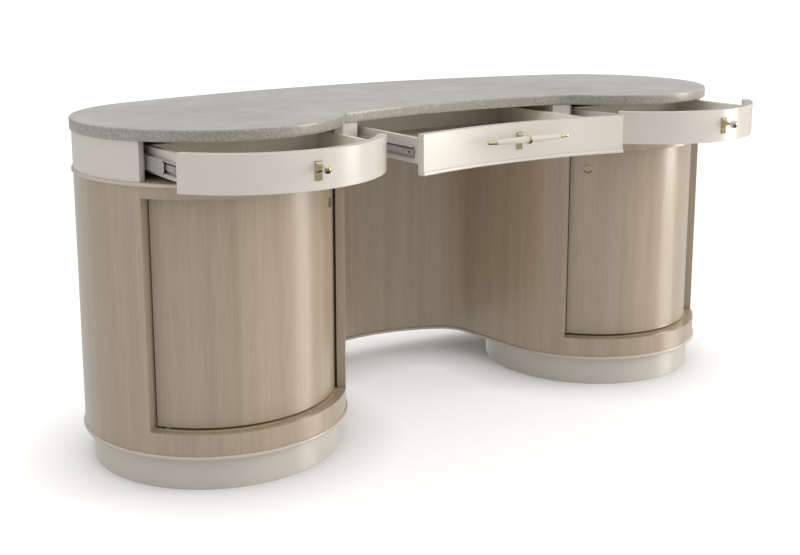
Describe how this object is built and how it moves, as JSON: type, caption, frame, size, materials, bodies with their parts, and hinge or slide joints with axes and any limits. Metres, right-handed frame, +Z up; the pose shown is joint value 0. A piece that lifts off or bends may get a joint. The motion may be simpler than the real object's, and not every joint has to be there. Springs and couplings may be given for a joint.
{
  "type": "vanity desk",
  "caption": "Kidney-shaped vanity desk: stone top on two round pedestals with curved doors, a kneehole between them, and drawers in the apron that stand open.",
  "frame": {"origin": "on the floor below the middle of the part's box, with the drawers standing open as stored", "axes": "+X along the desk's length to the sitter's right, -Y towards the sitter, +Z up"},
  "size_m": [1.7498, 0.8884, 0.762],
  "materials": {
    "stone": "honed stone with a soft cloudy figure, rougher sawn edge",
    "cream_lacquer": "satin pearl-cream lacquer",
    "plinth_lacquer": "satin champagne lacquer",
    "bead_lacquer": "satin silvery rose lacquer",
    "taupe_veneer": "satin lacquered veneer with straight upright grain",
    "carcass_ply": "plain sealed plywood",
    "drawer_lining": "taupe lacquered drawer box",
    "zinc_steel": "zinc-plated pressed steel",
    "brass": "polished champagne brass",
    "cream_enamel": "cream enamel over turned brass",
    "catch_plastic": "moulded plastic"
  },
  "bodies": {
    "desk": {"stone_top": "stone", "left_apron": "cream_lacquer", "back_apron": "cream_lacquer", "right_apron": "cream_lacquer", "divider_posts": "cream_lacquer", "apron_bead": "bead_lacquer", "base_bead": "bead_lacquer", "left_end_panel": "taupe_veneer", "back_panel": "taupe_veneer", "right_end_panel": "taupe_veneer", "kneehole_panel": "taupe_veneer", "left_door_frame": "taupe_veneer", "right_door_frame": "taupe_veneer", "deck_board": "carcass_ply", "base_board": "carcass_ply", "cabinet_floors": "carcass_ply", "cabinet_partitions": "carcass_ply", "shelves": "carcass_ply", "shelf_pegs": "zinc_steel", "left_plinth": "plinth_lacquer", "right_plinth": "plinth_lacquer", "levelling_feet": "zinc_steel", "runner_boards": "carcass_ply", "slide_rails": "zinc_steel", "door_catches": "catch_plastic", "hinge_pins": "zinc_steel"},
    "left_slide_middle": {"left_slide_middles": "zinc_steel"},
    "centre_slide_middle": {"centre_slide_middles": "zinc_steel"},
    "right_slide_middle": {"right_slide_middles": "zinc_steel"},
    "left_drawer": {"left_drawer_front": "cream_lacquer", "left_drawer_sides": "drawer_lining", "left_drawer_back": "drawer_lining", "left_drawer_bottom": "drawer_lining", "left_slide_inners": "zinc_steel", "left_knob_plate": "brass", "left_knob": "cream_enamel", "left_knob_cap": "brass"},
    "centre_drawer": {"centre_drawer_front": "cream_lacquer", "centre_drawer_sides": "drawer_lining", "centre_drawer_back": "drawer_lining", "centre_drawer_bottom": "drawer_lining", "centre_slide_inners": "zinc_steel", "handle_plate": "brass", "handle_bar": "cream_enamel", "handle_ring": "brass", "handle_tips": "brass"},
    "right_drawer": {"right_drawer_front": "cream_lacquer", "right_drawer_sides": "drawer_lining", "right_drawer_back": "drawer_lining", "right_drawer_bottom": "drawer_lining", "right_slide_inners": "zinc_steel", "right_knob_plate": "brass", "right_knob": "cream_enamel", "right_knob_cap": "brass"},
    "left_door": {"left_door": "taupe_veneer", "left_pull": "brass", "left_hinge_bushes": "brass"},
    "right_door": {"right_door": "taupe_veneer", "right_pull": "brass", "right_hinge_bushes": "brass"}
  },
  "joints": [
    {"name": "left_drawer_slide", "type": "slide", "parent": "desk", "child": "left_drawer", "axis": [0, -1, 0], "range_m": [-0.172, 0.028]},
    {"name": "left_middle_slide", "type": "slide", "parent": "desk", "child": "left_slide_middle", "axis": [0, -1, 0], "range_m": [-0.086, 0.014]},
    {"name": "centre_drawer_slide", "type": "slide", "parent": "desk", "child": "centre_drawer", "axis": [0, -1, 0], "range_m": [-0.25, 0.14999]},
    {"name": "centre_middle_slide", "type": "slide", "parent": "desk", "child": "centre_slide_middle", "axis": [0, -1, 0], "range_m": [-0.125, 0.07499]},
    {"name": "right_drawer_slide", "type": "slide", "parent": "desk", "child": "right_drawer", "axis": [0, -1, 0], "range_m": [-0.166, 0.034]},
    {"name": "right_middle_slide", "type": "slide", "parent": "desk", "child": "right_slide_middle", "axis": [0, -1, 0], "range_m": [-0.083, 0.017]},
    {"name": "left_door_hinge", "type": "hinge", "parent": "desk", "child": "left_door", "pos_m": [-0.77326, -0.11008, 0.126], "axis": [0, 0, -1], "range_deg": [0, 105]},
    {"name": "right_door_hinge", "type": "hinge", "parent": "desk", "child": "right_door", "pos_m": [0.77326, -0.11008, 0.126], "axis": [0, 0, 1], "range_deg": [0, 105]}
  ],
  "couplings": [
    {"joint": "left_middle_slide", "follows": "left_drawer_slide", "ratio": 0.5},
    {"joint": "centre_middle_slide", "follows": "centre_drawer_slide", "ratio": 0.5},
    {"joint": "right_middle_slide", "follows": "right_drawer_slide", "ratio": 0.5}
  ]
}
